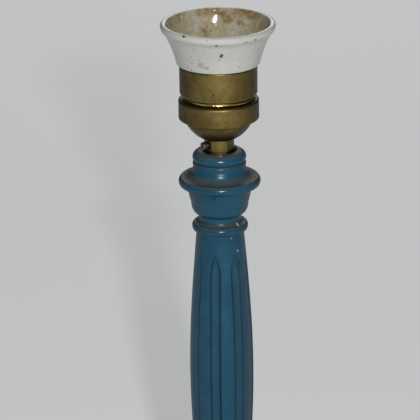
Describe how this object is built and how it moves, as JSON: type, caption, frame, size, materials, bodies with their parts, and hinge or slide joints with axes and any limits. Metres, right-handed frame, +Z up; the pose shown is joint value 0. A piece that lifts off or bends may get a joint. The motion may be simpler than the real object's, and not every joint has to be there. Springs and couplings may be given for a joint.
{
  "type": "lamp base",
  "caption": "Table lamp base: a blue painted, turned and fluted wooden column on a round foot, with a brass lampholder and a flared white porcelain collar.",
  "frame": {"origin": "Middle of the underside of the felt under the foot, on the rest surface.", "axes": "+Z up along the column, -Y towards the front that the picture shows, +X to the right seen from the front; the lead inlet is at the back, +Y."},
  "size_m": [0.13, 0.13, 0.3237],
  "materials": {
    "blue_paint": "satin teal-blue paint on turned wood, worn at the edges",
    "brass": "aged matte brass",
    "steel": "dull zinc plated steel",
    "porcelain": "glossy off-white glaze with brown stains",
    "felt": "thin wool felt"
  },
  "bodies": {
    "root": {"foot": "blue_paint", "felt_pad": "felt", "cord_inlet_bush": "brass", "lower_turning": "blue_paint", "fluted_shaft": "blue_paint", "capital": "blue_paint", "threaded_tube": "steel", "bottom_washer": "steel", "bottom_nut": "steel", "top_washer": "brass", "top_nut": "brass"},
    "holder": {"holder_cap": "brass", "neck_collar": "brass", "porcelain_core": "porcelain", "screw_shell": "brass", "shell_screw_front": "steel", "shell_screw_back": "steel", "contact_tab": "brass", "contact_screw": "steel", "live_terminal": "brass", "live_terminal_screw": "steel", "neutral_terminal": "brass", "neutral_terminal_screw": "steel"},
    "sleeve": {"holder_sleeve": "brass"},
    "collar": {"porcelain_collar": "porcelain"},
    "locking_screw": {"lock_screw": "steel"},
    "contact": {"centre_contact": "brass"}
  },
  "joints": [
    {"name": "holder_swivel", "type": "hinge", "parent": "root", "child": "holder", "pos_m": [0, 0, 0.2645], "axis": [0, 0, 1], "range_deg": [-180, 180]},
    {"name": "sleeve_turn", "type": "hinge", "parent": "holder", "child": "sleeve", "pos_m": [0, 0, 0.2869], "axis": [0, 0, 1], "range_deg": [0, 1440]},
    {"name": "collar_lift", "type": "slide", "parent": "sleeve", "child": "collar", "axis": [0, 0, 1], "range_m": [0, 0.028]},
    {"name": "lock_screw_turn", "type": "hinge", "parent": "holder", "child": "locking_screw", "pos_m": [-0.00658, -0.0038, 0.2604], "axis": [-0.866, -0.5, 0], "range_deg": [0, 720]},
    {"name": "contact_flex", "type": "hinge", "parent": "holder", "child": "contact", "pos_m": [-0.0023, 0, 0.2899], "axis": [0, 1, 0], "range_deg": [0, 22], "stiffness_Nm_per_rad": 0.06}
  ]
}
